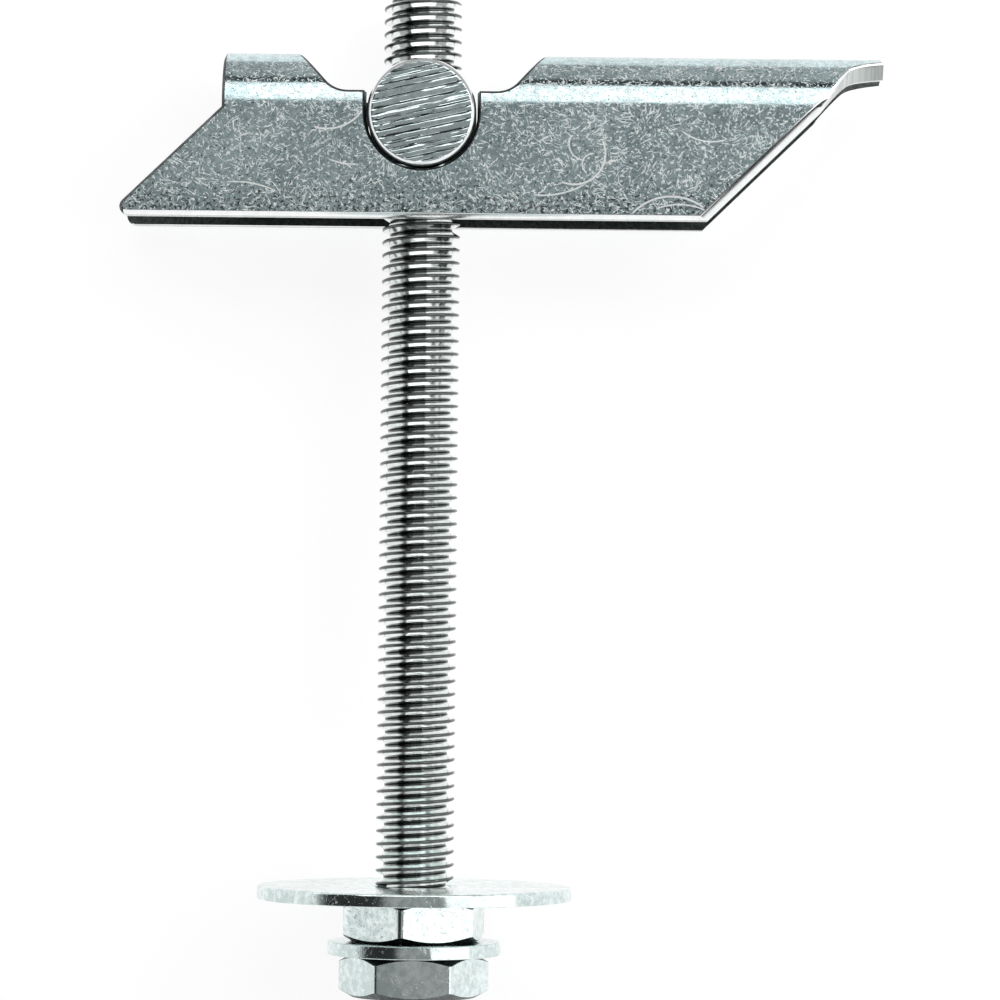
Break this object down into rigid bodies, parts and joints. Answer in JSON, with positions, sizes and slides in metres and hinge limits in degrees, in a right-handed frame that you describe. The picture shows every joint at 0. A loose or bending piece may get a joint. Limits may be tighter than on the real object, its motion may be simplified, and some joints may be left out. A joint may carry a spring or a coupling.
{
  "type": "tilt toggle anchor",
  "caption": "Tilt toggle anchor: a folded sheet bar with slanted ends tilts on a round cross pin on an M6 threaded rod, with thin nuts and flat washers below.",
  "frame": {"origin": "centre of the cross pin, where the tilt axis meets the rod's axis", "axes": "+X along the toggle bar towards its heavy arm, +Y along the rod towards the bar, +Z along the pin and up, with the anchor on its back"},
  "size_m": [0.0581, 0.08, 0.024],
  "materials": {
    "zinc_sheet": "bright zinc plated sheet steel, finely scratched",
    "zinc_rod": "bright zinc plated rolled thread",
    "sawn_steel": "bright steel with saw marks on the ends",
    "zinc_hardware": "bright zinc plated steel"
  },
  "bodies": {
    "rod": {"threaded_rod": "zinc_rod"},
    "pin": {"cross_pin": "sawn_steel"},
    "bar": {"toggle_bar": "zinc_sheet"},
    "clamp_washer": {"large_washer": "zinc_hardware"},
    "clamp_nut": {"clamp_nut": "zinc_hardware"},
    "lock_washer": {"small_washer": "zinc_hardware"},
    "lock_nut": {"lock_nut": "zinc_hardware"}
  },
  "joints": [
    {"name": "pin_travel", "type": "slide", "parent": "rod", "child": "pin", "axis": [0, 1, 0], "range_m": [-0.015, 0.0053]},
    {"name": "toggle_tilt", "type": "hinge", "parent": "pin", "child": "bar", "pos_m": [0, 0, 0], "axis": [0, 0, 1], "range_deg": [-45, 45]},
    {"name": "clamp_travel", "type": "slide", "parent": "rod", "child": "clamp_washer", "axis": [0, 1, 0], "range_m": [0, 0.02]},
    {"name": "clamp_nut_turn", "type": "hinge", "parent": "clamp_washer", "child": "clamp_nut", "pos_m": [0, -0.0597, 0], "axis": [0, 1, 0], "range_deg": [0, 7201]},
    {"name": "lock_travel", "type": "slide", "parent": "rod", "child": "lock_washer", "axis": [0, 1, 0], "range_m": [-0.003, 0]},
    {"name": "lock_nut_turn", "type": "hinge", "parent": "lock_washer", "child": "lock_nut", "pos_m": [0, -0.0639, 0], "axis": [0, 1, 0], "range_deg": [-1081, 0]}
  ],
  "couplings": [
    {"joint": "clamp_nut_turn", "follows": "clamp_travel", "rad_per_m": 6283.2},
    {"joint": "lock_nut_turn", "follows": "lock_travel", "rad_per_m": 6283.2}
  ]
}
